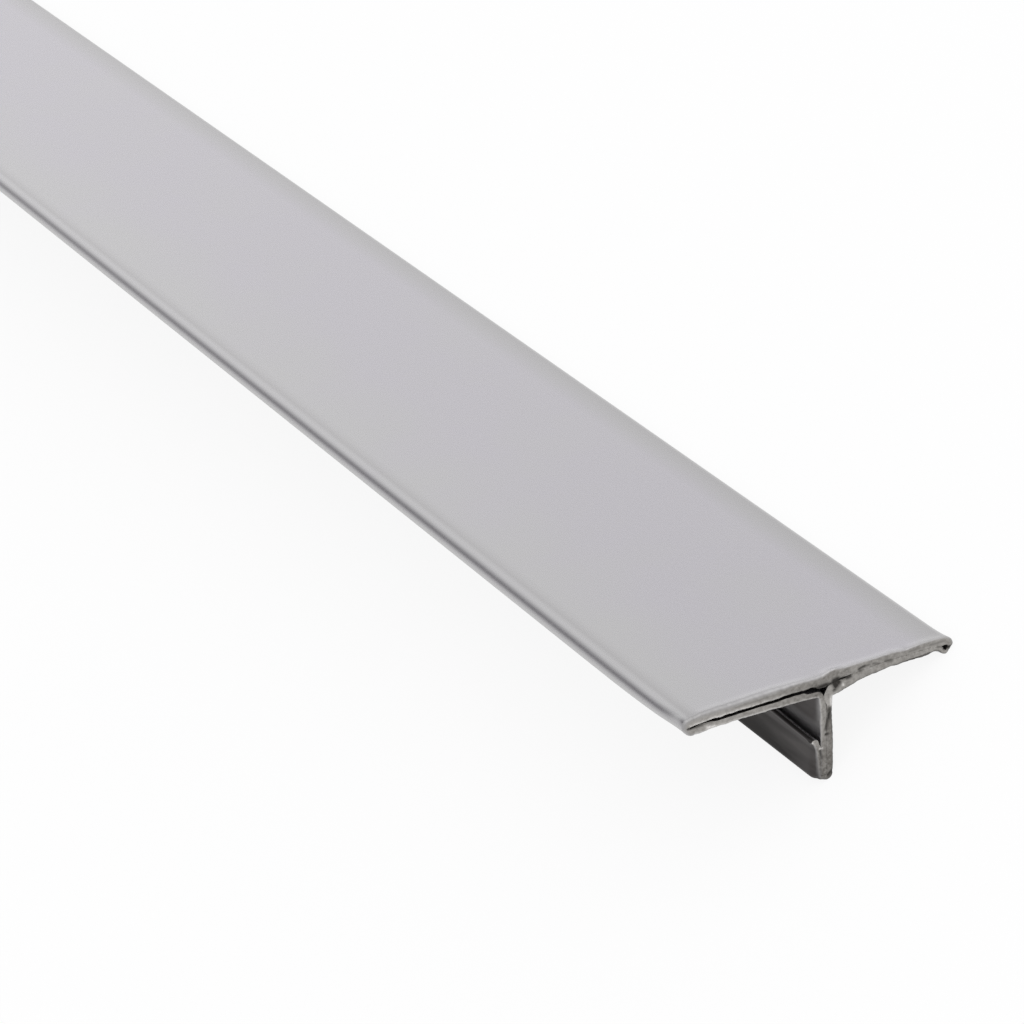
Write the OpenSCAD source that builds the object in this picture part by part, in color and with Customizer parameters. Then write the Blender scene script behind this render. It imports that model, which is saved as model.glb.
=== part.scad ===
// Stainless steel T-profile, folded from one strip of sheet.
// A flat face with a closed hem along each edge. Both ends of the strip run back under the
// face, turn down side by side as the stem, and the right one folds round the stem's foot
// and up its left side. The profile lies as it comes to rest on a level floor: tipped to the
// right, on the right hem and the foot of the stem.

/* [Profile] */
// Length of the piece
length = 1000; // [100:50:3000]
// Width of the face over both hems
face_w = 25; // [20:0.5:40]
// Height from the face to the foot of the stem
height = 9.4; // [8:0.1:15]

/* [Strip] */
// Thickness of the sheet
strip_t = 0.5; // [0.4:0.05:0.6]
// Air left between two plies that are pressed together
seam = 0.04; // [0.02:0.01:0.06]

/* [Hems] */
// Outside radius of each hem
hem_r = 0.75; // [0.7:0.05:0.9]
// Inside radius of the bend that brings a ply back up behind its hem
hem_back_r = 1; // [0.6:0.1:2]
// Gap between the face and the left lower ply, just behind the hem
left_gap = 0.28; // [0.16:0.02:0.4]

/* [Flaps] */
// How far the left lower ply falls away from the face, in degrees
left_fall = 1.8; // [0:0.2:3]
// Inside radius of the bend from the left lower ply into the stem
left_bend_r = 0.4; // [0.2:0.05:1]
// Distance from the stem's right side to where the right lower ply leaves the face
right_leave = 3.7; // [3:0.1:6]
// How steeply the right lower ply runs down to the stem, in degrees
right_fall = 16; // [8:1:24]
// Inside radius of the soft bend where the right lower ply leaves the face
right_leave_r = 3; // [1:0.5:4]
// Inside radius of the bend from the right lower ply into the stem
right_bend_r = 0.25; // [0.2:0.05:0.6]

/* [Stem] */
// Right side of the stem, from the middle of the face
stem_x = 1.45; // [-2:0.05:3]
// Outside radius of the two bends under the foot
foot_r = 0.55; // [0.55:0.01:0.6]
// Height of the ply that returns up the left side, with its lip
return_h = 4; // [2.5:0.1:5]
// Length of the lip along the top of the return ply
lip_h = 1.1; // [0.5:0.1:1.5]
// Angle at which the lip stands off the stem, in degrees
lip_a = 8; // [2:1:15]

/* [Hidden] */
arc_fn = 96;
steel = [0.74, 0.73, 0.75];

// Radii along the middle of the sheet
half_t = strip_t / 2;
hem_mid_r = hem_r - half_t;
back_mid_r = hem_back_r + half_t;
left_mid_r = left_bend_r + half_t;
leave_mid_r = right_leave_r + half_t;
right_mid_r = right_bend_r + half_t;
foot_mid_r = foot_r - half_t;
lip_mid_r = strip_t;

// Right flap, from the hem to the lip: pressed against the face, down to the stem, round the foot
hem_x = face_w / 2 - hem_r;
right_z = -(strip_t + seam + half_t);
right_hem_a = acos(1 - (right_z + hem_r + hem_mid_r) / (hem_mid_r + back_mid_r));
leave_x = stem_x + right_leave;
pressed_run = hem_x - (hem_mid_r + back_mid_r) * sin(right_hem_a) - leave_x;
right_web_x = stem_x - half_t;
leave_drop = leave_mid_r * (1 - cos(right_fall));
fall_run = (leave_x - leave_mid_r * sin(right_fall) - right_mid_r * (1 - sin(right_fall))
    - right_web_x) / cos(right_fall);
right_web_z = right_z - leave_drop - fall_run * sin(right_fall) - right_mid_r * cos(right_fall);
foot_z = -height + foot_r;
right_web_run = right_web_z - foot_z;
foot_run = 2 * (strip_t + seam) - 2 * foot_mid_r;
return_run = return_h - foot_r - lip_h;

// Left flap, from the hem to the middle ply of the stem
left_z = -(strip_t + left_gap + half_t);
left_hem_a = acos((back_mid_r * cos(left_fall) - hem_r - left_z) / (hem_mid_r + back_mid_r));
left_start_x = -hem_x + hem_mid_r * sin(left_hem_a)
    + back_mid_r * (sin(left_hem_a) + sin(left_fall));
left_web_x = right_web_x - strip_t - seam;
left_run = (left_web_x - left_mid_r * (1 - sin(left_fall)) - left_start_x) / cos(left_fall);
left_web_z = left_z - left_run * sin(left_fall) - left_mid_r * cos(left_fall);
left_web_run = left_web_z - (-height + strip_t + seam);

// Resting tilt: the floor touches the right hem and the foot's right bend
foot_x = stem_x - foot_r;
span_x = hem_x - foot_x;
span_z = -hem_r - foot_z;
rest_tilt = atan2(span_z, span_x) - asin((hem_r - foot_r) / norm([span_x, span_z]));
floor_drop = hem_x * sin(rest_tilt) + hem_r * cos(rest_tilt) + hem_r;
left_reach = hem_x * cos(rest_tilt) + hem_r * sin(rest_tilt) + hem_r;
right_reach = hem_x * cos(rest_tilt) - hem_r * sin(rest_tilt) + hem_r;
centre_x = (right_reach - left_reach) / 2;

// A straight stretch of sheet along its own middle line; what follows it starts at its end
module straight(run) {
    translate([0, -half_t]) square([run, strip_t]);
    translate([run, 0]) children();
}

// The half plane in front of a cut across the sheet, and the one behind it
module ahead(reach) {
    translate([0, -reach]) square([reach, 2 * reach]);
}

module behind(reach) {
    translate([-reach, -reach]) square([reach, 2 * reach]);
}

// The part of a ring that an angle sweeps, from the cut at its start to the one at its end
module arc_of(outer_r, inner_r, angle) {
    reach = 2 * outer_r;
    if (abs(angle) > 180) {
        difference() {
            ring(outer_r, inner_r);
            intersection() {
                behind(reach);
                rotate(angle) ahead(reach);
            }
        }
    } else {
        intersection() {
            ring(outer_r, inner_r);
            ahead(reach);
            rotate(angle) behind(reach);
        }
    }
}

module ring(outer_r, inner_r) {
    difference() {
        circle(r = outer_r, $fn = arc_fn);
        circle(r = inner_r, $fn = arc_fn);
    }
}

// A bend of the sheet through an angle: plus turns left and minus turns right
module bend(mid_r, angle) {
    side = sign(angle);
    translate([0, side * mid_r]) {
        arc_of(mid_r + half_t, mid_r - half_t, angle);
        rotate(angle) translate([0, -side * mid_r]) children();
    }
}

module right_flap() {
    translate([hem_x, -half_t])
    bend(hem_mid_r, -180 - right_hem_a)
    bend(back_mid_r, right_hem_a)
    straight(pressed_run)
    bend(leave_mid_r, right_fall)
    straight(fall_run)
    bend(right_mid_r, 90 - right_fall)
    straight(right_web_run)
    bend(foot_mid_r, -90)
    straight(foot_run)
    bend(foot_mid_r, -90)
    straight(return_run)
    bend(lip_mid_r, lip_a)
    straight(lip_h);
}

module left_flap() {
    translate([-hem_x, -half_t]) rotate(180)
    bend(hem_mid_r, 180 + left_hem_a)
    bend(back_mid_r, -left_hem_a - left_fall)
    straight(left_run)
    bend(left_mid_r, left_fall - 90)
    straight(left_web_run);
}

module face() {
    translate([-hem_x, -strip_t]) square([2 * hem_x, strip_t]);
}

// The folded section: x across the face, y up with the face at zero
module section() {
    face();
    left_flap();
    right_flap();
}

module t_profile() {
    color(steel)
    translate([-centre_x, 0, floor_drop])
    rotate([0, rest_tilt, 0])
    translate([0, length / 2, 0])
    rotate([90, 0, 0])
    linear_extrude(height = length) section();
}

t_profile();
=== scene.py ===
# Looks of the stainless T-profile: one strip of satin sheet folded into a T, with a rough sawn end.
import math

import bmesh
import bpy
import numpy as np
from mathutils import Matrix, Vector, noise


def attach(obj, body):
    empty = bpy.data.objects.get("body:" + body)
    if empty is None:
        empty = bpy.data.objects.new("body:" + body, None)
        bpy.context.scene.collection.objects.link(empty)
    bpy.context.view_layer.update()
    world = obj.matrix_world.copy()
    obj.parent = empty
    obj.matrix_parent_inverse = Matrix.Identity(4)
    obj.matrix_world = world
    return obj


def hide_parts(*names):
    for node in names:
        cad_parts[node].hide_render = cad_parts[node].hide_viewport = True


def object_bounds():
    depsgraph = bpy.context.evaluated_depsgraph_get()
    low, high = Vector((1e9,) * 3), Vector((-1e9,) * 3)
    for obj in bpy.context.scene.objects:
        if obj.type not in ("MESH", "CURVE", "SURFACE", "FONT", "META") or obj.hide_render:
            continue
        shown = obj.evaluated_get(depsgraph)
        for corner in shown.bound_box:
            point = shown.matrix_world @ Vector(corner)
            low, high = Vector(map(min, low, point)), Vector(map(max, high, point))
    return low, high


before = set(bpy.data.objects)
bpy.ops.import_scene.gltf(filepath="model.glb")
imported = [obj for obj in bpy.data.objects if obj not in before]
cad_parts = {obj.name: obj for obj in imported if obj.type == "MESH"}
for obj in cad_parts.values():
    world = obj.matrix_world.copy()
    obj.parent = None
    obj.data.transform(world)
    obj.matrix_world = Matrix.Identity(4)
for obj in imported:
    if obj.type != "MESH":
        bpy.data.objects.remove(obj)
cad_low, cad_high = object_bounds()

MM = 0.001

# Sizes of the folded section in millimetres and degrees, the same as in the part's own source
FACE_W = 25.0
HEIGHT = 9.4
STRIP_T = 0.5
SEAM = 0.04
HEM_R = 0.75
HEM_BACK_R = 1.0
LEFT_GAP = 0.28
LEFT_FALL = math.radians(1.8)
LEFT_BEND_R = 0.4
RIGHT_LEAVE = 3.7
RIGHT_FALL = math.radians(16)
RIGHT_LEAVE_R = 3.0
RIGHT_BEND_R = 0.25
STEM_X = 1.45
FOOT_R = 0.55
RETURN_H = 4.0
LIP_H = 1.1
LIP_A = math.radians(8)
LENGTH = (cad_high.y - cad_low.y) / MM

# What follows from them, by the same rules
HALF_T = STRIP_T / 2
HEM_MID_R = HEM_R - HALF_T
BACK_MID_R = HEM_BACK_R + HALF_T
LEFT_MID_R = LEFT_BEND_R + HALF_T
LEAVE_MID_R = RIGHT_LEAVE_R + HALF_T
RIGHT_MID_R = RIGHT_BEND_R + HALF_T
FOOT_MID_R = FOOT_R - HALF_T
HEM_X = FACE_W / 2 - HEM_R
RIGHT_Z = -(STRIP_T + SEAM + HALF_T)
RIGHT_HEM_A = math.acos(1 - (RIGHT_Z + HEM_R + HEM_MID_R) / (HEM_MID_R + BACK_MID_R))
LEAVE_X = STEM_X + RIGHT_LEAVE
PRESSED_RUN = HEM_X - (HEM_MID_R + BACK_MID_R) * math.sin(RIGHT_HEM_A) - LEAVE_X
RIGHT_WEB_X = STEM_X - HALF_T
FALL_RUN = (LEAVE_X - LEAVE_MID_R * math.sin(RIGHT_FALL) - RIGHT_MID_R * (1 - math.sin(RIGHT_FALL))
            - RIGHT_WEB_X) / math.cos(RIGHT_FALL)
RIGHT_WEB_Z = (RIGHT_Z - LEAVE_MID_R * (1 - math.cos(RIGHT_FALL)) - FALL_RUN * math.sin(RIGHT_FALL)
               - RIGHT_MID_R * math.cos(RIGHT_FALL))
FOOT_Z = -HEIGHT + FOOT_R
FOOT_RUN = 2 * (STRIP_T + SEAM) - 2 * FOOT_MID_R
RETURN_RUN = RETURN_H - FOOT_R - LIP_H
LEFT_Z = -(STRIP_T + LEFT_GAP + HALF_T)
LEFT_HEM_A = math.acos((BACK_MID_R * math.cos(LEFT_FALL) - HEM_R - LEFT_Z) / (HEM_MID_R + BACK_MID_R))
LEFT_START_X = (-HEM_X + HEM_MID_R * math.sin(LEFT_HEM_A)
                + BACK_MID_R * (math.sin(LEFT_HEM_A) + math.sin(LEFT_FALL)))
LEFT_WEB_X = RIGHT_WEB_X - STRIP_T - SEAM
LEFT_RUN = (LEFT_WEB_X - LEFT_MID_R * (1 - math.sin(LEFT_FALL)) - LEFT_START_X) / math.cos(LEFT_FALL)
LEFT_WEB_RUN = (LEFT_Z - LEFT_RUN * math.sin(LEFT_FALL) - LEFT_MID_R * math.cos(LEFT_FALL)
                + HEIGHT - STRIP_T - SEAM)

# The profile lies tipped to the right, on its right hem and the foot of the stem
SPAN = (HEM_X - (STEM_X - FOOT_R), -HEM_R - FOOT_Z)
REST_TILT = math.atan2(SPAN[1], SPAN[0]) - math.asin((HEM_R - FOOT_R) / math.hypot(*SPAN))
FLOOR_DROP = HEM_X * math.sin(REST_TILT) + HEM_R * math.cos(REST_TILT) + HEM_R
CENTRE_X = -HEM_R * math.sin(REST_TILT)
PLACE = (Matrix.Scale(MM, 4)
         @ Matrix.Translation((-CENTRE_X, -LENGTH / 2, FLOOR_DROP))
         @ Matrix.Rotation(REST_TILT, 4, "Y"))

# How finely the sheet is drawn: steps round the section, cells through the sheet and where their
# edges lie from its inner side to its outer side, rows by both ends, and steps between those
STEP = 0.11
TURN_STEP = math.radians(5)
CELLS_THROUGH = 9
SHARE = np.linspace(0, 1, CELLS_THROUGH + 1)
END_ROWS = (0.0, 0.05, 0.12, 0.22, 0.36, 0.55, 0.8, 1.1, 1.5, 2.0, 2.8, 3.8, 5.0, 7.0, 10.0, 15.0,
            22.0, 34.0)
LONG_STEP = 90.0


class Walk:
    """Goes along the middle of the sheet and notes a station at every small step."""

    def __init__(self, x, z, heading):
        self.x, self.z, self.heading = x, z, heading
        self.stations = []

    def note(self, ply):
        self.stations.append((self.x, self.z, self.heading, ply))

    def go(self, distance):
        self.x += distance * math.cos(self.heading)
        self.z += distance * math.sin(self.heading)

    def straight(self, ply, run):
        count = math.ceil(run / STEP)
        for _ in range(count):
            self.go(run / count)
            self.note(ply)

    def bend(self, ply, radius, turn):
        """Goes round a bend: plus turns left and minus turns right."""
        count = math.ceil(abs(turn) / TURN_STEP)
        for _ in range(count):
            self.heading += turn / count / 2
            self.go(2 * radius * math.sin(abs(turn) / count / 2))
            self.heading += turn / count / 2
            self.note(ply)


def folded_strip():
    """Stations along the whole strip, from the lip over the face to the stem's left ply."""
    quarter = math.pi / 2
    right = Walk(HEM_X, -HALF_T, 0.0)
    right.note("right_hem")
    right.bend("right_hem", HEM_MID_R, -math.pi - RIGHT_HEM_A)
    right.bend("right_back", BACK_MID_R, RIGHT_HEM_A)
    right.straight("right_lower", PRESSED_RUN)
    right.bend("right_slope", LEAVE_MID_R, RIGHT_FALL)
    right.straight("right_slope", FALL_RUN)
    right.bend("right_bend", RIGHT_MID_R, quarter - RIGHT_FALL)
    right.straight("right_web", RIGHT_WEB_Z - FOOT_Z)
    right.bend("foot", FOOT_MID_R, -quarter)
    right.straight("foot", FOOT_RUN)
    right.bend("foot", FOOT_MID_R, -quarter)
    right.straight("return_ply", RETURN_RUN)
    right.bend("lip", STRIP_T, LIP_A)
    right.straight("lip", LIP_H)
    left = Walk(HEM_X, -HALF_T, math.pi)
    left.straight("face", 2 * HEM_X)
    left.bend("left_hem", HEM_MID_R, math.pi + LEFT_HEM_A)
    left.bend("left_back", BACK_MID_R, -LEFT_HEM_A - LEFT_FALL)
    left.straight("left_lower", LEFT_RUN)
    left.bend("left_bend", LEFT_MID_R, LEFT_FALL - quarter)
    left.straight("left_web", LEFT_WEB_RUN)
    turned = [(x, z, heading + math.pi, ply) for x, z, heading, ply in reversed(right.stations)]
    return turned + left.stations


class Strip:
    """The strip's middle line: where each station is, which way is out, and how far along it lies."""

    def __init__(self):
        stations = folded_strip()
        self.mid = np.array([s[:2] for s in stations])
        heading = np.array([s[2] for s in stations])
        self.ply = np.array([s[3] for s in stations])
        self.out = np.stack([np.sin(heading), -np.cos(heading)], 1)
        gaps = np.linalg.norm(np.diff(self.mid, axis=0), axis=1)
        self.along = np.concatenate([[0.0], np.cumsum(gaps)])
        self.count = len(stations)
        self.down = (self.mid[1] - self.mid[0]) / gaps[0]

    def place_on(self, ply, x, z):
        """How far along the strip the station of a ply nearest to a point of the section is."""
        own = np.flatnonzero(self.ply == ply)
        distance = np.linalg.norm(self.mid[own] - (x, z), axis=1)
        return self.along[own[distance.argmin()]]

    def chain(self, knots):
        """A value at every station, from knots of ply, place in the section and value."""
        ordered = sorted((self.place_on(ply, x, z), value) for ply, x, z, value in knots)
        return np.interp(self.along, *zip(*ordered))

    def moves(self, knots):
        """How far every station moves across and up, from knots that have both instead of a value."""
        return np.stack([self.chain([(ply, x, z, move[axis]) for ply, x, z, *move in knots])
                         for axis in (0, 1)], 1)


strip = Strip()


def evenly(value):
    """The knots of a value that is the same all over the section."""
    return (("face", 0.0, -HALF_T, value),)


def fade(distance, reach):
    """Falls softly from 1 to almost 0 over about twice the reach."""
    return np.exp(-(distance / reach) ** 2)


# How far one seed's noise lies from the next one's, and what brings it to between about -1 and 1
SEED_SHIFT = (7.3, 3.1, 5.7)
NOISE_GAIN = 1.6


def speckle(points, size, seed):
    """Smooth noise between about -1 and 1 at points in millimetres, with spots of a given size."""
    shift = Vector([seed * step for step in SEED_SHIFT])
    return np.array([noise.noise(Vector(p) / size + shift) for p in points]) * NOISE_GAIN


def layered(points, layers, seed):
    """Layers of noise added up, each with its height and the size of its spots."""
    return sum(height * speckle(points, size, seed + i) for i, (height, size) in enumerate(layers))


# What the saw did to the near end. Each line is a ply, a place in the section, and a value there.
# Metal pushed out of the outer side of the sheet, or torn off it, in millimetres
NEAR_OUTER = (
    ("lip", -0.05, -5.40, 0.02),
    ("lip", 0.03, -5.85, -0.04),
    ("return_ply", 0.12, -6.80, -0.10),
    ("return_ply", 0.12, -8.00, -0.20),
    ("foot", 0.20, -9.00, -0.25),
    ("foot", 0.90, -9.15, 0.00),
    ("foot", 1.15, -8.95, 0.12),
    ("right_web", 1.20, -8.00, 0.12),
    ("right_web", 1.20, -6.00, 0.09),
    ("right_web", 1.20, -3.00, 0.03),
    ("right_slope", 2.40, -1.50, 0.18),
    ("right_slope", 3.40, -1.15, 0.22),
    ("right_slope", 3.90, -1.05, 0.20),
    ("right_slope", 4.60, -0.85, 0.28),
    ("right_lower", 5.60, -0.80, 0.26),
    ("right_lower", 7.00, -0.80, 0.12),
    ("right_lower", 10.40, -0.80, 0.10),
    ("right_back", 11.15, -1.00, -0.14),
    ("right_hem", 11.80, -1.25, -0.10),
    ("right_hem", 12.05, -1.15, -0.14),
    ("right_hem", 12.25, -0.75, 0.02),
    ("face", 12.00, -0.25, 0.08),
    ("face", 10.20, -0.25, 0.14),
    ("face", 9.30, -0.25, 0.11),
    ("face", 8.35, -0.25, 0.03),
    ("face", 7.20, -0.25, 0.14),
    ("face", 5.00, -0.25, 0.13),
    ("face", 2.50, -0.25, 0.14),
    ("face", 1.75, -0.25, 0.28),
    ("face", 1.25, -0.25, 0.22),
    ("face", 0.60, -0.25, 0.02),
    ("face", -0.15, -0.25, 0.01),
    ("face", -2.00, -0.25, 0.12),
    ("face", -5.00, -0.25, 0.11),
    ("face", -8.00, -0.25, 0.05),
    ("face", -9.60, -0.25, 0.08),
    ("face", -10.70, -0.25, -0.02),
    ("face", -11.50, -0.25, 0.00),
    ("left_hem", -12.25, -0.75, 0.00),
    ("left_hem", -11.80, -1.25, 0.06),
    ("left_back", -11.20, -1.10, 0.14),
    ("left_back", -10.75, -1.05, 0.14),
    ("left_lower", -9.90, -1.05, 0.10),
    ("left_lower", -8.40, -1.10, 0.10),
    ("left_lower", -6.00, -1.15, 0.05),
    ("left_lower", -4.00, -1.25, 0.04),
    ("left_lower", -0.80, -1.35, 0.06),
    ("left_bend", 0.12, -1.38, 0.13),
    ("left_bend", 0.45, -1.55, 0.19),
    ("left_bend", 0.66, -1.95, 0.13),
    ("left_web", 0.66, -2.60, 0.08),
    ("left_web", 0.66, -5.00, 0.03),
)
# The same on the inner side, where the plies face each other
NEAR_INNER = (
    ("lip", -0.05, -5.40, 0.10),
    ("lip", 0.03, -5.90, 0.00),
    ("lip", 0.10, -6.25, 0.06),
    ("return_ply", 0.12, -7.00, 0.02),
    ("right_web", 1.20, -2.60, 0.02),
    ("right_bend", 1.30, -1.90, 0.40),
    ("right_bend", 1.45, -1.75, 0.50),
    ("right_slope", 1.75, -1.65, 0.40),
    ("right_slope", 2.50, -1.40, 0.34),
    ("right_slope", 3.10, -1.25, 0.22),
    ("right_slope", 3.60, -1.10, 0.20),
    ("right_slope", 4.20, -0.95, 0.10),
    ("right_lower", 5.40, -0.80, 0.02),
    ("right_lower", 10.50, -0.80, 0.02),
    ("right_back", 11.20, -1.00, 0.12),
    ("right_hem", 11.80, -1.25, -0.10),
    ("right_hem", 12.25, -0.75, 0.00),
    ("face", 12.00, -0.25, 0.28),
    ("face", 11.20, -0.25, 0.16),
    ("face", 10.50, -0.25, 0.02),
    ("face", 5.00, -0.25, 0.04),
    ("face", 4.20, -0.25, 0.12),
    ("face", 3.40, -0.25, 0.16),
    ("face", 2.50, -0.25, 0.24),
    ("face", 1.70, -0.25, 0.44),
    ("face", 1.35, -0.25, 0.52),
    ("face", 1.00, -0.25, 0.56),
    ("face", 0.55, -0.25, 0.56),
    ("face", 0.10, -0.25, 0.46),
    ("face", -0.30, -0.25, 0.28),
    ("face", -0.80, -0.25, 0.26),
    ("face", -2.50, -0.25, 0.20),
    ("face", -4.00, -0.25, 0.23),
    ("face", -9.40, -0.25, 0.23),
    ("face", -11.00, -0.25, 0.26),
    ("left_hem", -12.25, -0.75, 0.22),
    ("left_hem", -11.75, -1.25, 0.12),
    ("left_back", -11.10, -1.05, 0.06),
    ("left_lower", -10.40, -1.05, 0.16),
    ("left_lower", -9.90, -1.05, 0.12),
    ("left_lower", -9.40, -1.06, 0.00),
    ("left_lower", -9.00, -1.08, -0.05),
    ("left_lower", -6.60, -1.15, -0.04),
    ("left_lower", -4.80, -1.20, 0.03),
    ("left_lower", -3.60, -1.25, 0.04),
    ("left_lower", -2.90, -1.28, 0.11),
    ("left_lower", -1.20, -1.32, 0.15),
    ("left_lower", -0.80, -1.33, -0.03),
    ("left_bend", 0.20, -1.40, -0.12),
    ("left_bend", 0.55, -1.75, -0.20),
    ("left_web", 0.66, -2.60, -0.04),
    ("left_web", 0.66, -3.20, 0.02),
)
# How far the saw has rolled the outer rim over, as the radius that it has there
NEAR_RIM = (
    ("lip", 0.00, -5.80, 0.05),
    ("return_ply", 0.12, -7.00, 0.10),
    ("foot", 0.20, -9.00, 0.24),
    ("foot", 1.10, -9.00, 0.10),
    ("right_web", 1.20, -7.50, 0.05),
    ("right_slope", 3.00, -1.20, 0.12),
    ("right_lower", 9.00, -0.80, 0.13),
    ("right_hem", 11.90, -1.25, 0.08),
    ("face", 12.00, -0.25, 0.08),
    ("face", 2.50, -0.25, 0.07),
    ("face", 1.40, -0.25, 0.08),
    ("face", 0.60, -0.25, 0.12),
    ("face", -1.50, -0.25, 0.14),
    ("face", -4.00, -0.25, 0.26),
    ("face", -8.00, -0.25, 0.30),
    ("face", -11.00, -0.25, 0.24),
    ("left_hem", -12.10, -0.40, 0.24),
    ("left_hem", -12.10, -1.10, 0.24),
    ("left_back", -11.20, -1.15, 0.14),
    ("left_lower", -9.50, -1.05, 0.06),
    ("left_web", 0.66, -4.00, 0.05),
)
# How light the sawn metal is
NEAR_TONE = (
    ("lip", 0.00, -5.50, 0.75),
    ("lip", 0.10, -6.40, 0.50),
    ("return_ply", 0.12, -7.20, 0.30),
    ("foot", 0.66, -9.10, 0.25),
    ("right_web", 1.20, -8.00, 0.15),
    ("right_web", 1.20, -6.00, 0.35),
    ("right_web", 1.20, -4.50, 0.20),
    ("right_web", 1.20, -3.20, 0.15),
    ("right_web", 1.20, -2.60, 0.85),
    ("right_bend", 1.45, -1.90, 0.80),
    ("right_slope", 3.00, -1.30, 0.65),
    ("right_lower", 9.00, -0.80, 0.75),
    ("right_hem", 12.25, -0.75, 0.80),
    ("face", 9.00, -0.25, 0.60),
    ("face", 3.00, -0.25, 0.60),
    ("face", 1.50, -0.25, 0.45),
    ("face", -0.50, -0.25, 0.36),
    ("face", -4.00, -0.25, 0.64),
    ("face", -6.60, -0.25, 0.85),
    ("face", -9.00, -0.25, 1.00),
    ("left_hem", -12.25, -0.75, 0.95),
    ("left_back", -11.00, -1.10, 0.65),
    ("left_lower", -9.00, -1.05, 0.80),
    ("left_lower", -4.00, -1.20, 0.65),
    ("left_bend", 0.30, -1.50, 0.35),
    ("left_web", 0.66, -2.60, 0.65),
    ("left_web", 0.66, -5.00, 0.60),
    ("left_web", 0.66, -6.50, 0.40),
    ("left_web", 0.66, -8.50, 0.25),
)
# How bright the painted highlight along the burr of the outer rim is
NEAR_HIGHLIGHT_OUTER = (
    ("lip", 0.00, -5.45, 0.60),
    ("return_ply", 0.12, -6.70, 0.35),
    ("return_ply", 0.12, -8.30, 0.20),
    ("foot", 0.40, -9.10, 0.00),
    ("right_web", 1.20, -3.20, 0.00),
    ("right_web", 1.20, -2.60, 0.60),
    ("right_bend", 1.45, -1.90, 0.45),
    ("right_slope", 2.20, -1.60, 0.00),
    ("left_hem", -12.00, -1.15, 0.00),
    ("left_back", -11.20, -1.15, 0.80),
    ("left_lower", -9.60, -1.05, 1.00),
    ("left_lower", -8.00, -1.10, 0.90),
    ("left_lower", -1.00, -1.30, 0.75),
    ("left_bend", 0.40, -1.60, 0.65),
    ("left_web", 0.66, -4.00, 0.50),
    ("left_web", 0.66, -5.60, 0.30),
    ("left_web", 0.66, -6.20, 0.00),
)
# How bright the painted highlight along the burr of the inner rim is
NEAR_HIGHLIGHT_INNER = (
    ("face", 3.80, -0.25, 0.00),
    ("face", 3.00, -0.25, 0.40),
    ("face", 2.20, -0.25, 0.30),
    ("face", 1.80, -0.25, 0.00),
    ("face", -1.50, -0.25, 0.10),
    ("face", -3.00, -0.25, 0.40),
    ("face", -5.50, -0.25, 0.75),
    ("face", -7.00, -0.25, 0.90),
    ("face", -9.00, -0.25, 0.95),
    ("face", -11.60, -0.25, 1.00),
    ("left_hem", -12.25, -0.75, 0.00),
)
# A shift of the sheet is how far along the strip it reaches, then its lines: a ply, a place in the
# section, and how far across and up it moves. This one leans the lip out a little more, all along
EVERYWHERE = 1e6
LIP_LEAN = (EVERYWHERE, (
    ("lip", 0.06, -6.30, 0.00, 0.00),
    ("lip", 0.00, -5.80, -0.05, -0.01),
    ("lip", -0.05, -5.40, -0.12, -0.03),
))
# What the saw bent: the lip, the right hem outwards, and the left hem inwards, which rises towards
# the cut and is pushed down right beside it
NEAR_SHIFTS = (
    LIP_LEAN,
    (6.0, (
        ("lip", 0.06, -6.30, 0.00, 0.00),
        ("lip", 0.00, -5.80, -0.07, -0.02),
        ("lip", -0.05, -5.40, -0.17, -0.03),
    )),
    (0.9, (
        ("lip", 0.06, -6.30, 0.00, 0.00),
        ("lip", 0.00, -5.80, 0.03, -0.05),
        ("lip", -0.05, -5.40, 0.08, -0.10),
    )),
    (1.3, (
        ("right_lower", 10.40, -0.80, 0.00, 0.00),
        ("right_back", 10.90, -0.90, 0.20, 0.00),
        ("right_hem", 11.70, -1.25, 0.32, -0.09),
        ("right_hem", 12.05, -1.15, 0.30, -0.03),
        ("right_hem", 12.25, -0.75, 0.26, -0.04),
        ("right_hem", 12.20, -0.50, 0.20, 0.00),
        ("face", 11.50, -0.25, 0.00, 0.00),
        ("face", -10.40, -0.25, 0.00, 0.00),
        ("face", -11.40, -0.25, 0.05, -0.08),
        ("left_hem", -12.15, -0.50, 0.10, -0.18),
        ("left_hem", -12.15, -1.00, 0.14, -0.26),
        ("left_hem", -11.80, -1.25, 0.12, -0.34),
        ("left_back", -11.10, -1.05, 0.12, -0.40),
        ("left_lower", -10.40, -1.05, 0.00, -0.30),
        ("left_lower", -9.50, -1.05, 0.00, -0.12),
        ("left_lower", -8.20, -1.10, 0.00, -0.09),
        ("left_lower", -6.60, -1.15, 0.00, -0.03),
        ("left_lower", -4.80, -1.20, 0.00, -0.05),
        ("left_lower", -1.00, -1.32, 0.00, -0.07),
        ("left_bend", 0.50, -1.70, 0.00, -0.03),
        ("left_web", 0.66, -2.60, 0.00, 0.00),
    )),
    (2.0, (
        ("face", -10.80, -0.25, 0.00, 0.00),
        ("left_hem", -12.15, -0.50, 0.28, -0.04),
        ("left_hem", -12.15, -1.00, 0.32, -0.02),
        ("left_back", -11.00, -1.05, 0.08, 0.00),
        ("left_lower", -9.80, -1.05, 0.00, 0.00),
    )),
    (6.0, (
        ("face", -11.50, -0.25, 0.00, 0.00),
        ("left_hem", -12.25, -0.75, 0.06, 0.12),
        ("left_hem", -12.00, -1.17, 0.08, 0.25),
        ("left_back", -11.30, -1.15, 0.04, 0.18),
        ("left_lower", -10.00, -1.05, 0.00, 0.00),
    )),
)
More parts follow.
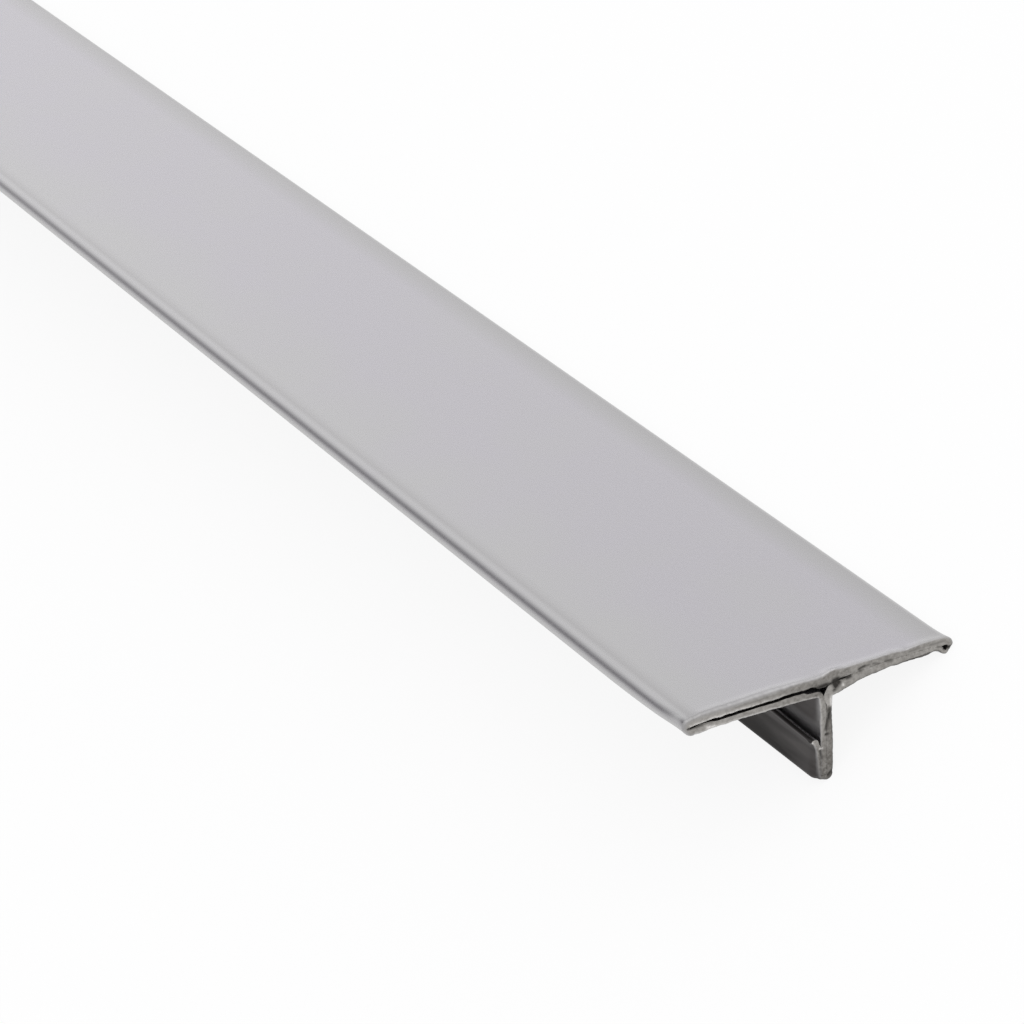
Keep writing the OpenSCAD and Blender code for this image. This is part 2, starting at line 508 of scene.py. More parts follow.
# Pits and cracks in the cut, and painted shade in the gaps between the plies and along the right ply's
# lower edge: both ends of each in the section, half its width, and how dark it is
NEAR_PITS_AND_SHADE = (
    ((1.24, -3.10), (1.20, -4.00), 0.20, 0.75),
    ((1.22, -3.45), (1.18, -3.90), 0.13, 1.00),
    ((1.08, -4.00), (0.90, -4.80), 0.19, 0.75),
    ((0.88, -5.28), (1.08, -5.30), 0.13, 0.95),
    ((1.43, -3.00), (1.45, -4.20), 0.08, 0.75),
    ((1.45, -4.20), (1.46, -6.00), 0.06, 0.45),
    ((0.34, -6.60), (0.52, -7.30), 0.14, 0.75),
    ((1.15, -9.00), (1.40, -8.75), 0.20, 0.85),
    ((-11.55, -1.00), (-10.30, -0.98), 0.13, 0.85),
    ((-10.30, -0.98), (-9.40, -0.94), 0.08, 0.60),
    ((-0.50, -0.86), (0.30, -0.92), 0.14, 0.90),
    ((0.30, -0.95), (1.00, -0.92), 0.22, 1.00),
    ((1.05, -0.94), (1.70, -0.92), 0.16, 0.95),
    ((1.70, -0.84), (1.86, -1.24), 0.32, 1.20),
    ((1.98, -0.74), (2.10, -1.10), 0.26, 1.15),
    ((2.20, -0.78), (2.60, -0.80), 0.17, 0.95),
    ((2.60, -0.80), (3.20, -0.76), 0.13, 0.85),
    ((2.88, -0.90), (3.16, -0.84), 0.17, 1.00),
    ((1.64, -1.60), (1.78, -1.57), 0.15, 0.95),
    ((3.95, -0.44), (4.50, -0.33), 0.13, 0.85),
    ((4.00, -0.62), (4.16, -0.64), 0.13, 0.70),
    ((4.50, -0.33), (4.90, -0.32), 0.10, 0.60),
    ((5.24, -0.34), (5.83, -0.50), 0.13, 0.50),
    ((6.43, -0.44), (6.98, -0.58), 0.18, 0.60),
    ((-7.40, -0.41), (-4.40, -0.37), 0.09, 0.40),
    ((-4.40, -0.37), (-2.60, -0.42), 0.09, 0.25),
    ((8.60, -0.30), (9.60, -0.25), 0.14, 0.35),
    ((10.60, -0.30), (12.00, -0.30), 0.14, 0.40),
    ((2.60, -1.84), (4.00, -1.45), 0.06, 0.55),
    ((4.00, -1.45), (5.60, -1.21), 0.06, 0.55),
    ((5.60, -1.21), (8.00, -1.04), 0.06, 0.60),
    ((8.00, -1.04), (11.10, -0.97), 0.06, 0.65),
    ((11.30, -0.66), (11.90, -0.84), 0.12, 0.50),
    ((11.95, -0.96), (13.00, -1.06), 0.20, 0.95),
)
# Painted highlights: bright spots on it, in the same way
NEAR_PAINTED_GLINTS = (
    ((1.36, -2.05), (1.38, -2.75), 0.13, 0.90),
    ((0.28, -6.36), (0.50, -6.38), 0.08, 0.80),
    ((2.42, -1.25), (2.48, -1.38), 0.09, 0.90),
    ((-0.55, -5.60), (-0.35, -5.70), 0.08, 0.70),
    ((4.90, -0.62), (5.05, -0.70), 0.10, 0.40),
    ((-9.90, -1.28), (-9.26, -1.39), 0.14, 0.95),
    ((-10.90, -1.55), (-10.50, -1.50), 0.12, 0.60),
)
# The far end was cut cleanly: a trace of a burr, a narrow rim, and one tone
FAR_BURR = 0.02
FAR_RIM = 0.06
FAR_TONE = 0.60
# Ripples along a burr's edge, and the grain of a cut: the height and the size of each layer of them
BURR_RIPPLES = ((0.022, 1.1), (0.018, 0.3))
CUT_GRAIN = ((0.022, 0.5), (0.014, 0.16))
# Each of these layers has a seed of its own, counted on from that of its cut
NEAR_SEED = 1
FAR_SEED = 20
# How deep a cut lies below the strip's full length, and how much deeper a full pit is
CUT_SINK = 0.06
PIT_DEPTH = 0.12
# The slit edge of the lip is a little rounded, and more so at the near cut
SLIT_R = 0.06
LIP_ROUND = 0.18
# How far along the strip a burr reaches, and how far the relief of a cut does
BURR_REACH = 0.45
SINK_REACH = 1.0
# On the inner side a burr's edge is even up to the first size. A burr that is larger by the second
# is as ragged there as on the outer side, and none is more than so many times as ragged
INNER_EVEN = 0.06
INNER_TORN = 0.12
INNER_TORN_MOST = 3
# A rim that isn't rolled still has this radius. Over about so many radii from the edge the satin
# turns into sawn metal
LEAST_RIM = 1e-4
SAWN_FROM = 1.15
# How far in from its edge a burr's painted highlight reaches
HIGHLIGHT_WIDTH = 0.13


def strokes(places, lines):
    """How strongly any of some soft lines shows at points of the section."""
    marks = np.zeros(places.shape[:-1])
    for first, last, half_width, strength in lines:
        start, run = np.array(first), np.subtract(last, first)
        share = np.clip((places - start) @ run / (run @ run), 0, 1)
        reach = np.linalg.norm(places - start - share[..., None] * run, axis=-1)
        marks = np.maximum(marks, strength * fade(reach, half_width))
    return marks


class Cut:
    """The shape and the tones of one sawn end of the sheet."""

    CHAINS = ("outer", "inner", "rim", "tone", "highlight_outer", "highlight_inner")

    def __init__(self, seed, pits_and_shade=(), painted_glints=(), shifts=(), lip_r=0.0, **knots):
        self.seed = seed
        self.pits_and_shade = pits_and_shade
        self.painted_glints = painted_glints
        self.lip_r = lip_r
        self.chains = {name: strip.chain(knots.get(name, evenly(0.0))) for name in self.CHAINS}
        self.shifts = [(reach, strip.moves(lines)) for reach, lines in shifts]
        points = [(x, z, 0.0) for x, z in strip.mid]
        ripple = layered(points, BURR_RIPPLES, seed)
        torn = np.clip((self.chains["inner"] - INNER_EVEN) / INNER_TORN, 0, INNER_TORN_MOST)
        self.chains["outer"] = self.chains["outer"] + ripple
        self.chains["inner"] = self.chains["inner"] + ripple * torn

    def offsets(self, distance):
        """How far both sides of the sheet stand from its middle, at a distance from the cut."""
        near = fade(distance, BURR_REACH)
        return -HALF_T - self.chains["inner"] * near, HALF_T + self.chains["outer"] * near

    def places(self, distance):
        """Points of the section at every station and cell, at a distance from the cut."""
        inner, outer = self.offsets(distance)
        offset = inner[:, None] + (outer - inner)[:, None] * SHARE
        middle = strip.mid + sum(shift * fade(distance, reach) for reach, shift in self.shifts)
        places = middle[:, None, :] + strip.out[:, None, :] * offset[..., None]
        radius = SLIT_R + self.lip_r * fade(distance, BURR_REACH)
        corner = radius - np.minimum(SHARE, 1 - SHARE) * STRIP_T
        drop = radius - np.sqrt(radius ** 2 - np.maximum(corner, 0) ** 2)
        places[0] += drop[:, None] * strip.down
        return places

    def surface(self):
        """Depth and marks over the cut face, at every station and cell."""
        inner, outer = self.offsets(0.0)
        from_outer = (outer - inner)[:, None] * (1 - SHARE)
        from_inner = (outer - inner)[:, None] * SHARE
        rim = self.chains["rim"][:, None] + LEAST_RIM
        rolled = rim * (1 - np.sqrt(1 - np.clip(1 - from_outer / rim, 0, 1) ** 2))
        places = self.places(0.0)
        flat = np.concatenate([places, np.zeros((*places.shape[:2], 1))], -1).reshape(-1, 3)
        rough = layered(flat, CUT_GRAIN, self.seed + len(BURR_RIPPLES))
        # Pits and cracks, and painted shade in the gaps between the plies
        pit_and_shade = strokes(places, self.pits_and_shade)
        # Painted highlights along the burrs of both rims, and in spots
        painted_highlight = (self.chains["highlight_outer"][:, None] * fade(from_outer, HIGHLIGHT_WIDTH)
                 + self.chains["highlight_inner"][:, None] * fade(from_inner, HIGHLIGHT_WIDTH)
                 + strokes(places, self.painted_glints))
        marks = {
            "sawn": 1 - fade(from_outer, SAWN_FROM * rim),
            "pit_and_shade": pit_and_shade,
            "painted_highlight": np.clip(painted_highlight, 0, 1),
            "tone": np.broadcast_to(self.chains["tone"][:, None], pit_and_shade.shape),
        }
        return CUT_SINK + rough.reshape(pit_and_shade.shape) + rolled + PIT_DEPTH * pit_and_shade, marks


near_cut = Cut(NEAR_SEED, NEAR_PITS_AND_SHADE, NEAR_PAINTED_GLINTS, NEAR_SHIFTS, LIP_ROUND,
               outer=NEAR_OUTER, inner=NEAR_INNER, rim=NEAR_RIM, tone=NEAR_TONE,
               highlight_outer=NEAR_HIGHLIGHT_OUTER, highlight_inner=NEAR_HIGHLIGHT_INNER)
far_cut = Cut(FAR_SEED, shifts=(LIP_LEAN,),
              outer=evenly(FAR_BURR), rim=evenly(FAR_RIM), tone=evenly(FAR_TONE))

# How dull the outer side of the sheet is all along: a little on its under sides, and painted shade in a
# line under the left hem
DULL_AND_SHADE_OUTER = (
    ("right_hem", 11.75, -1.25, 0.12),
    ("right_hem", 12.10, -1.10, 0.00),
    ("left_hem", -12.22, -0.90, 0.00),
    ("left_hem", -12.00, -1.17, 0.80),
    ("left_hem", -11.70, -1.25, 0.12),
    ("left_lower", -0.80, -1.33, 0.12),
)
# Painted shade on the outer side by the near end: on the return ply with its lip, and on the stem's
# left ply above it
PAINTED_SHADE_OUTER = (
    ("lip", -0.05, -5.40, 1.00),
    ("foot", 0.30, -9.00, 1.00),
    ("foot", 1.10, -9.00, 0.00),
    ("left_lower", -0.80, -1.33, 0.00),
    ("left_bend", 0.20, -1.50, 0.80),
    ("left_web", 0.66, -2.20, 1.00),
    ("left_web", 0.66, -3.60, 1.00),
    ("left_web", 0.66, -4.20, 0.90),
    ("left_web", 0.66, -4.80, 0.56),
    ("left_web", 0.66, -5.15, 0.10),
    ("left_web", 0.66, -5.35, 0.00),
)
# From where along the strip the painted shade thins out, and where it ends
PAINTED_SHADE_THINS = 15.0
PAINTED_SHADE_ENDS = 34.0
# How much of the painted shade is lifted beside the cut, and how far along that reaches
PAINTED_SHADE_LIFTED = (
    ("return_ply", 0.12, -7.60, 0.10),
    ("foot", 0.66, -9.15, 0.00),
    ("left_web", 0.66, -5.00, 0.30),
    ("left_web", 0.66, -3.00, 0.55),
)
PAINTED_SHADE_LIFTED_REACH = 0.7
# How dull the inner side of the sheet is all along, where the plies face each other, and how much
# painted shade it has there
DULL_AND_SHADE_INNER = (
    ("lip", -0.05, -5.40, 0.00),
    ("return_ply", 0.12, -7.50, 0.30),
    ("right_web", 1.20, -6.00, 1.00),
    ("right_web", 1.20, -3.00, 0.60),
    ("right_bend", 1.45, -1.75, 0.40),
    ("right_slope", 3.00, -1.20, 1.00),
    ("face", 3.00, -0.25, 1.00),
    ("face", 1.30, -0.25, 0.40),
    ("face", -1.20, -0.25, 0.50),
    ("face", -2.50, -0.25, 1.00),
    ("left_lower", -2.50, -1.28, 1.00),
    ("left_lower", -1.00, -1.32, 0.50),
    ("left_bend", 0.50, -1.75, 0.40),
    ("left_web", 0.66, -3.00, 0.80),
)
# How light the dull metal and its painted shade are
DULL_AND_SHADE_TONE = (
    ("lip", -0.05, -5.50, 0.60),
    ("lip", 0.06, -6.30, 0.45),
    ("return_ply", 0.12, -7.10, 0.70),
    ("return_ply", 0.12, -7.60, 0.35),
    ("return_ply", 0.12, -8.10, 0.00),
    ("foot", 0.66, -9.15, 0.00),
    ("right_web", 1.20, -7.50, 0.50),
    ("left_lower", -2.00, -1.30, 0.50),
    ("left_bend", 0.40, -1.60, 0.00),
    ("left_web", 0.66, -2.20, 0.10),
    ("left_web", 0.66, -2.80, 0.65),
    ("left_web", 0.66, -3.80, 0.70),
    ("left_web", 0.66, -6.00, 0.60),
)
# How much painted shade darkens the outer rim at the near cut
RIM_SHADE = (
    ("lip", -0.05, -5.40, 0.50),
    ("lip", 0.06, -6.30, 0.60),
    ("return_ply", 0.12, -7.60, 0.80),
    ("foot", 0.30, -9.00, 1.00),
    ("foot", 1.10, -9.00, 0.90),
    ("right_web", 1.20, -6.00, 0.80),
    ("right_web", 1.20, -3.00, 0.60),
    ("right_web", 1.20, -2.60, 0.00),
    ("right_bend", 1.45, -1.90, 0.10),
    ("right_slope", 2.20, -1.60, 0.80),
    ("right_lower", 6.00, -0.80, 1.00),
    ("right_back", 11.20, -1.10, 1.00),
    ("right_hem", 11.75, -1.25, 0.60),
    ("right_hem", 12.10, -1.10, 0.00),
    ("face", -3.00, -0.25, 0.00),
    ("face", -7.00, -0.25, 0.12),
    ("face", -11.00, -0.25, 0.22),
    ("left_hem", -12.15, -0.60, 0.18),
    ("left_hem", -12.00, -1.17, 0.00),
    ("left_bend", 0.20, -1.50, 0.00),
    ("left_web", 0.66, -2.20, 0.40),
    ("left_web", 0.66, -5.80, 0.50),
)
# How much lighter the painted shade is beside the cut, and how far along that reaches
SHADE_LIGHTER_AT_CUT = 0.5
SHADE_LIGHTER_REACH = 3.0
# How much painted shade darkens the satin beside the cut, and how far along that reaches
CUT_EDGE_SHADE = 0.7
CUT_EDGE_SHADE_REACH = 0.35
# How much painted shade darkens the face towards its hems, and the left hem towards its under side
PAINTED_EDGE_SHADE = (
    ("right_hem", 12.00, -0.35, 1.00),
    ("face", 11.60, -0.25, 1.00),
    ("face", 10.20, -0.25, 0.45),
    ("face", 9.00, -0.25, 0.00),
    ("face", -10.20, -0.25, 0.00),
    ("face", -10.80, -0.25, 0.30),
    ("face", -11.30, -0.25, 0.95),
    ("face", -11.90, -0.25, 0.00),
    ("left_hem", -12.20, -0.60, 0.00),
    ("left_hem", -12.25, -0.90, 0.80),
    ("left_hem", -12.00, -1.17, 1.00),
)
# How much of the sheet's lilac tinge is missing
PALE_OUTER = (
    ("right_hem", 12.00, -0.35, 1.00),
    ("face", 11.50, -0.25, 0.80),
    ("face", 9.50, -0.25, 0.00),
    ("face", -2.00, -0.25, 0.00),
    ("face", -6.00, -0.25, 0.35),
    ("face", -9.50, -0.25, 0.80),
    ("left_hem", -11.90, -0.25, 1.00),
)

# What the mesh carries for its material, each from 0 to 1 or a little past it
MARKS = ("sawn", "pit_and_shade", "painted_highlight", "tone", "dull_and_shade", "edge", "pale")


def rows_along():
    """How far along the strip every row lies."""
    middle_run = LENGTH - 2 * END_ROWS[-1]
    count = round(middle_run / LONG_STEP)
    middle = [END_ROWS[-1] + middle_run * i / count for i in range(1, count)]
    return np.array([*END_ROWS, *middle, *(LENGTH - y for y in reversed(END_ROWS))])


def dullness_and_shade(rows):
    """How dull the strip is at every row, station and cell, with the painted shade that the same mark
    carries.
    """
    # Painted shade on the inner side, between the plies, with the dullness that the same mark carries
    inner = strip.chain(DULL_AND_SHADE_INNER)[:, None] * (1 - SHARE)
    # Painted shade on the outer side by the near end, thinning out along the strip and lifted beside
    # the cut
    painted_shade = np.interp(rows, (PAINTED_SHADE_THINS, PAINTED_SHADE_ENDS), (1, 0))
    shade_kept = 1 - fade(rows, PAINTED_SHADE_LIFTED_REACH)[:, None] * strip.chain(PAINTED_SHADE_LIFTED)
    # A little dullness on the under sides, and painted shade in a line under the left hem
    outer = strip.chain(DULL_AND_SHADE_OUTER) + painted_shade[:, None] * shade_kept * strip.chain(PAINTED_SHADE_OUTER)
    dull_and_shade = inner + np.minimum(outer, 1)[..., None] * SHARE
    # The slit edge inside the foot is bare, without dullness or painted shade. So is the inner half of
    # the lip's, but its outer half has the same dullness and painted shade as the side next to it
    half = CELLS_THROUGH // 2
    dull_and_shade[:, -1, 1:-1] = 0.0
    dull_and_shade[:, 0, 1:half] = 0.0
    dull_and_shade[:, 0, half:] = outer[:, 0, None]
    # The rim of the near cut has a painted shade of its own
    dull_and_shade[0] = inner + strip.chain(RIM_SHADE)[:, None] * SHARE
    return dull_and_shade


def lattice():
    """Points and marks of the strip on a lattice: rows along it, stations across, cells through."""
    rows = rows_along()
    shape = (len(rows), strip.count, CELLS_THROUGH + 1)
    points = np.zeros((*shape, 3))
    marks = {name: np.zeros(shape) for name in MARKS}
    # The painted shade is lighter beside the cut
    shade_lighter = SHADE_LIGHTER_AT_CUT * fade(rows, SHADE_LIGHTER_REACH)
    # Painted shade darkens the satin beside the cut
    smeared = CUT_EDGE_SHADE * fade(rows, CUT_EDGE_SHADE_REACH)
    marks["tone"][:] = strip.chain(DULL_AND_SHADE_TONE)[:, None] + shade_lighter[:, None, None]
    marks["dull_and_shade"][:] = dullness_and_shade(rows)
    marks["edge"][:] = (strip.chain(PAINTED_EDGE_SHADE)[:, None] + smeared[:, None, None]) * SHARE
    marks["pale"][:] = strip.chain(PALE_OUTER)[:, None] * SHARE
    for cut, row, inward in ((near_cut, 0, 1), (far_cut, -1, -1)):
        depth, on_cut = cut.surface()
        for name, values in on_cut.items():
            marks[name][row] = values
        for r, y in enumerate(rows):
            distance = y if inward > 0 else LENGTH - y
            if distance <= LENGTH / 2:
                places = cut.places(distance)
                points[r, ..., 0] = places[..., 0]
                points[r, ..., 1] = y + inward * depth * fade(distance, SINK_REACH)
                points[r, ..., 2] = places[..., 1]
    return points, marks


def shell_of(points, marks):
    """The outside of the lattice as one closed mesh."""
    number = np.arange(points[..., 0].size).reshape(points.shape[:3])
    sides = [number[0], number[-1], number[:, 0], number[:, -1], number[:, :, 0], number[:, :, -1]]
    quads = np.concatenate([
        np.stack([s[:-1, :-1], s[1:, :-1], s[1:, 1:], s[:-1, 1:]], -1).reshape(-1, 4) for s in sides])
    used, quads = np.unique(quads, return_inverse=True)
    quads = quads.reshape(-1, 4)
    mesh = bpy.data.meshes.new("folded_sheet")
    mesh.from_pydata([PLACE @ Vector(p) for p in points.reshape(-1, 3)[used]], [], quads.tolist())
    for name, values in marks.items():
        attribute = mesh.attributes.new(name, "FLOAT", "POINT")
        attribute.data.foreach_set("value", values.reshape(-1)[used].astype(np.float32))
    work = bmesh.new()
    work.from_mesh(mesh)
    bmesh.ops.recalc_face_normals(work, faces=work.faces)
    # The right hem's burr stays above the floor
    for vertex in work.verts:
        vertex.co.z = max(vertex.co.z, 0.0)
    work.to_mesh(mesh)
    work.free()
    mesh.shade_smooth()
    return mesh


class Nodes:
    """Adds shader nodes to a tree in a few words."""

    def __init__(self, tree):
        self.tree = tree
        tree.nodes.clear()

    def add(self, kind, inputs=(), **settings):
        node = self.tree.nodes.new("ShaderNode" + kind)
        for name, value in settings.items():
            setattr(node, name, value)
        for name, value in dict(inputs).items():
            socket = node.inputs[name]
            if isinstance(value, bpy.types.NodeSocket):
                self.tree.links.new(value, socket)
            else:
                socket.default_value = value
        return node

    def mix(self, share, first, second):
        """One colour turning into another as the share goes from 0 to 1."""
        node = self.add("Mix", {0: share, 6: first, 7: second}, data_type="RGBA")
        return node.outputs[2]

    def maths(self, operation, first, second):
        return self.add("Math", {0: first, 1: second}, operation=operation).outputs[0]

    def spread(self, value, low, high, new_low=0.0, new_high=1.0):
        """A value's range from low to high stretched to a new one, and held at its ends."""
        node = self.add("MapRange", {0: value, 1: low, 2: high, 3: new_low, 4: new_high})
        return node.outputs[0]

    def mark(self, name):
        """One of the marks that the mesh carries."""
        return self.add("Attribute", attribute_name=name).outputs["Fac"]

    def scaled(self, where, scale):
        """Coordinates scaled along each axis: below 1 draws a noise out that way."""
        return self.add("Mapping", {"Vector": where, "Scale": scale}).outputs[0]

    def clouds(self, where, size, detail=2.0, rough=0.5):
        """Noise with spots of a size in metres."""
        node = self.add("TexNoise", {"Vector": where, "Scale": 1 / size, "Detail": detail,
                                     "Roughness": rough})
        return node.outputs["Fac"]


# Colours of the satin sheet, of its painted shade by the hems, of its dull places with the painted
# shade that they carry, and of the sawn metal with its painted highlights, its pits and painted shade
# in gaps
STEEL = (0.540, 0.527, 0.556, 1.0)
STEEL_DARK = (0.518, 0.506, 0.533, 1.0)
STEEL_PALE = (0.530, 0.527, 0.530, 1.0)
STEEL_SHADED = (0.465, 0.460, 0.462, 1.0)
DULL_AND_SHADE_DARK = (0.022, 0.020, 0.019, 1.0)
DULL_AND_SHADE_LIGHT = (0.088, 0.082, 0.080, 1.0)
CUT_LIGHT = (0.400, 0.385, 0.365, 1.0)
CUT_DARK = (0.135, 0.126, 0.115, 1.0)
PAINTED_HIGHLIGHT = (0.760, 0.740, 0.720, 1.0)
PIT_AND_SHADE_DARK = (0.045, 0.042, 0.039, 1.0)

# The size of each noise's spots in millimetres, and how much those of two are drawn out
GRAIN_SIZE = 0.16
PATCH_SIZE = 9.0
SMEAR_SIZE = 1.2
TORN_SIZE = 0.32
TORN_DETAIL = 4.0
TORN_ROUGH = 0.65
GRAIN_SCALE = (1.0, 0.4, 1.0)
SMEAR_SCALE = (1.0, 0.15, 1.0)
# What is made of each noise: the part of its range that counts, then what that part turns into
GRAIN_LIGHT = (0.3, 0.7, 0.0, 1.0)
GRAIN_ROUGH = (0.2, 0.8, 0.24, 0.32)
PATCH_PALE = (0.3, 0.7, -0.2, 0.4)
SMEAR_TONE = (0.35, 0.65, -0.25, 0.25)
TORN_TONE = (0.25, 0.75, -0.42, 0.42)
TORN_HIGHLIGHT = (0.30, 0.50, 0.35, 1.0)
TORN_PIT = (0.2, 0.8, -0.25, 0.25)
# How strong a mark of pits and painted shade has to be to show, and to be all dark
PIT_SHOWS = (0.15, 0.95)
# How rough dull and sawn metal is, and the relief that the bump takes from grain and torn metal
DULL_ROUGH = 0.55
SAWN_ROUGH = 0.5
GRAIN_RELIEF = 0.15
TORN_RELIEF = 3.0
BUMP_STRENGTH = 0.4
BUMP_DEPTH = 0.02


def sheet_colour(n, where, grain, dull_and_shade, tone):
    """The satin sheet: its grain and tinge, painted shade in bands by the hems, and its dull places
    darkened with painted shade.
    """
    patches = n.clouds(where, PATCH_SIZE * MM)
    smears = n.clouds(n.scaled(where, SMEAR_SCALE), SMEAR_SIZE * MM)
    sheet = n.mix(n.spread(grain, *GRAIN_LIGHT), STEEL_DARK, STEEL)
    pale = n.maths("ADD", n.mark("pale"), n.spread(patches, *PATCH_PALE))
    sheet = n.mix(pale, sheet, STEEL_PALE)
    # Painted shade towards the hems and beside the cut
    sheet = n.mix(n.mark("edge"), sheet, STEEL_SHADED)
    smeared = n.maths("ADD", tone, n.spread(smears, *SMEAR_TONE))
    # Where the mark is, a near-black painted shade, lighter with the tone and a drawn-out noise
    return n.mix(dull_and_shade, sheet, n.mix(smeared, DULL_AND_SHADE_DARK, DULL_AND_SHADE_LIGHT))


def cut_colour(n, torn, tone):
    """The sawn metal: mottled, with painted highlights on burrs and in spots, and with dark pits and
    painted shade in gaps.
    """
    mottled = n.maths("ADD", tone, n.spread(torn, *TORN_TONE))
    cut = n.mix(mottled, CUT_DARK, CUT_LIGHT)
    # Painted highlights, broken up by the torn metal
    broken_highlight = n.maths("MULTIPLY", n.mark("painted_highlight"), n.spread(torn, *TORN_HIGHLIGHT))
    cut = n.mix(broken_highlight, cut, PAINTED_HIGHLIGHT)
    # Pits, and painted shade in the gaps, darken the cut
    ragged = n.maths("ADD", n.mark("pit_and_shade"), n.spread(torn, *TORN_PIT))
    return n.mix(n.spread(ragged, *PIT_SHOWS), cut, PIT_AND_SHADE_DARK)


def stainless():
    """Satin sheet with a fine grain, dulled and darkened with painted shade where it is marked, and the
    torn metal of the cuts.
    """
    material = bpy.data.materials.new("satin_stainless")
    material.use_nodes = True
    n = Nodes(material.node_tree)
    where = n.add("TexCoord").outputs["Object"]
    grain = n.clouds(n.scaled(where, GRAIN_SCALE), GRAIN_SIZE * MM)
    torn = n.clouds(where, TORN_SIZE * MM, TORN_DETAIL, TORN_ROUGH)
    sawn, dull_and_shade, tone = n.mark("sawn"), n.mark("dull_and_shade"), n.mark("tone")
    colour = n.mix(sawn, sheet_colour(n, where, grain, dull_and_shade, tone), cut_colour(n, torn, tone))
    satin = n.spread(dull_and_shade, 0.0, 1.0, n.spread(grain, *GRAIN_ROUGH), DULL_ROUGH)
    rough = n.spread(sawn, 0.0, 1.0, satin, SAWN_ROUGH)
    grain_relief = n.maths("MULTIPLY", grain, GRAIN_RELIEF)
    torn_relief = n.maths("MULTIPLY", n.maths("MULTIPLY", torn, sawn), TORN_RELIEF)
    relief = n.maths("ADD", grain_relief, torn_relief)
    bump = n.add("Bump", {"Height": relief, "Strength": BUMP_STRENGTH, "Distance": BUMP_DEPTH * MM})
    shader = n.add("BsdfPrincipled", {"Base Color": colour, "Metallic": 1.0, "Roughness": rough,
                                      "Normal": bump.outputs[0]})
    n.add("OutputMaterial", {"Surface": shader.outputs[0]})
    return material


def folded_sheet():
    sheet = bpy.data.objects.new("folded_sheet", shell_of(*lattice()))
    bpy.context.scene.collection.objects.link(sheet)
    sheet.data.materials.append(stainless())
    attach(sheet, "root")
    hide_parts("t_profile")


# The camera as it stood to the profile, before both are tipped: eye in millimetres from the middle
# of the face at the near end, then azimuth, elevation and roll. Its lens and sensor are in
# millimetres, and the nearest and farthest that it sees in metres
CAMERA_EYE = (-151.995, -233.091, 154.533)
CAMERA_AZIMUTH = math.radians(28.3838)
CAMERA_ELEVATION = math.radians(26.6548)
CAMERA_ROLL = math.radians(-2.2490)
CAMERA_LENS = 145.054
SENSOR_W = 36.0
CLIP_START = 0.01
CLIP_END = 200.0


def camera():
    level = Vector((math.cos(CAMERA_AZIMUTH), -math.sin(CAMERA_AZIMUTH), 0))
    forward = Vector((math.sin(CAMERA_AZIMUTH) * math.cos(CAMERA_ELEVATION),
                      math.cos(CAMERA_AZIMUTH) * math.cos(CAMERA_ELEVATION),
                      -math.sin(CAMERA_ELEVATION)))
    upright = level.cross(forward)
    right = level * math.cos(CAMERA_ROLL) + upright * math.sin(CAMERA_ROLL)
    turn = Matrix((right, right.cross(forward), -forward)).transposed()
    data = bpy.data.cameras.new("camera")
    data.sensor_fit = "HORIZONTAL"
    data.sensor_width = SENSOR_W
    data.lens = CAMERA_LENS
    data.clip_start = CLIP_START
    data.clip_end = CLIP_END
    eye = bpy.data.objects.new("camera", data)
    eye.matrix_world = (Matrix.Translation(PLACE @ Vector(CAMERA_EYE))
                        @ (Matrix.Rotation(REST_TILT, 3, "Y") @ turn).to_4x4())
    bpy.context.scene.collection.objects.link(eye)
    bpy.context.scene.camera = eye


# The floor's size in metres, its own colour, and how much of it is plain white to the camera and
# in what the metal reflects
FLOOR_SIZE = 60.0
FLOOR_COLOUR = (0.955, 0.955, 0.96, 1.0)
FLOOR_GLOW = 0.87


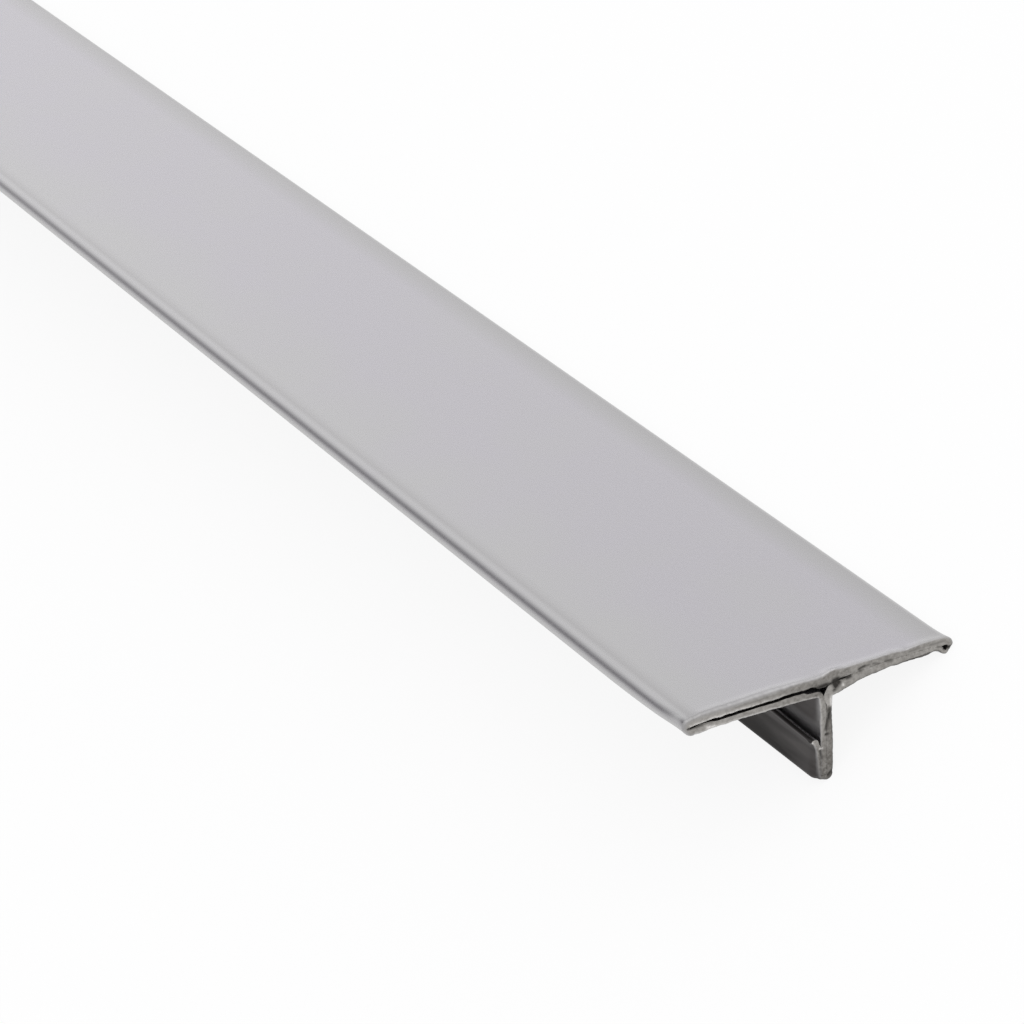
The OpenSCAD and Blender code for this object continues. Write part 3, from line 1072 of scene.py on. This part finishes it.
def floor():
    """A pale floor that keeps a trace of the profile's shadow."""
    half = FLOOR_SIZE / 2
    mesh = bpy.data.meshes.new("floor")
    mesh.from_pydata([(-half, -half, 0), (half, -half, 0), (half, half, 0), (-half, half, 0)],
                     [], [(0, 1, 2, 3)])
    plane = bpy.data.objects.new("floor", mesh)
    bpy.context.scene.collection.objects.link(plane)
    material = bpy.data.materials.new("pale_floor")
    material.use_nodes = True
    n = Nodes(material.node_tree)
    rays = n.add("LightPath").outputs
    seen = n.maths("MAXIMUM", rays["Is Camera Ray"], n.maths(
        "MAXIMUM", rays["Is Glossy Ray"], rays["Is Transmission Ray"]))
    lit = n.add("BsdfDiffuse", {"Color": FLOOR_COLOUR})
    white = n.add("Emission", {"Color": (1.0, 1.0, 1.0, 1.0), "Strength": 1.0})
    share = n.maths("MULTIPLY", seen, FLOOR_GLOW)
    both = n.add("MixShader", {0: share, 1: lit.outputs[0], 2: white.outputs[0]})
    n.add("OutputMaterial", {"Surface": both.outputs[0]})
    mesh.materials.append(material)


# The colours of the light from every side. The flag and the lamp have the direction that they stand
# in, and how quickly they fall off around it. The ranges are of a direction's share along an axis
TENT = (0.87, 0.865, 0.875, 1.0)
TENT_AHEAD = (1.15, 1.14, 1.16, 1.0)
BEHIND = (0.62, 0.62, 0.63, 1.0)
FLAG = (0.24, 0.23, 0.25, 1.0)
FLAG_FROM = (-0.35, 0.75, 0.56)
FLAG_EDGE = 12.0
LAMP = (1.50, 1.50, 1.50, 1.0)
LAMP_FROM = (0.45, -0.45, 0.77)
LAMP_EDGE = 3.0
AHEAD_Y = (0.70, 0.92)
BEHIND_Y = (0.1, 0.5)
BEHIND_Z = (0.5, 0.8)


def light():
    """A white tent, brighter straight behind the profile, dimmer above that, with a flag and a lamp."""
    world = bpy.data.worlds.new("tent")
    bpy.context.scene.world = world
    world.use_nodes = True
    n = Nodes(world.node_tree)
    direction = n.add("TexCoord").outputs["Generated"]
    parts = n.add("SeparateXYZ", {0: direction}).outputs

    def near(place, edge):
        facing = n.add("VectorMath", {0: direction, 1: place}, operation="DOT_PRODUCT").outputs["Value"]
        return n.maths("POWER", n.maths("MAXIMUM", facing, 0.0), edge)

    tent = n.mix(n.spread(parts["Y"], *AHEAD_Y), TENT, TENT_AHEAD)
    high = n.maths("MULTIPLY", n.spread(parts["Z"], *BEHIND_Z), n.spread(parts["Y"], *BEHIND_Y))
    tent = n.mix(high, tent, BEHIND)
    tent = n.mix(near(FLAG_FROM, FLAG_EDGE), tent, FLAG)
    tent = n.mix(near(LAMP_FROM, LAMP_EDGE), tent, LAMP)
    glow = n.add("Background", {"Color": tent, "Strength": 1.0})
    n.add("OutputWorld", {"Surface": glow.outputs[0]})


camera()
folded_sheet()
floor()
light()
bpy.context.scene.view_settings.view_transform = "Standard"
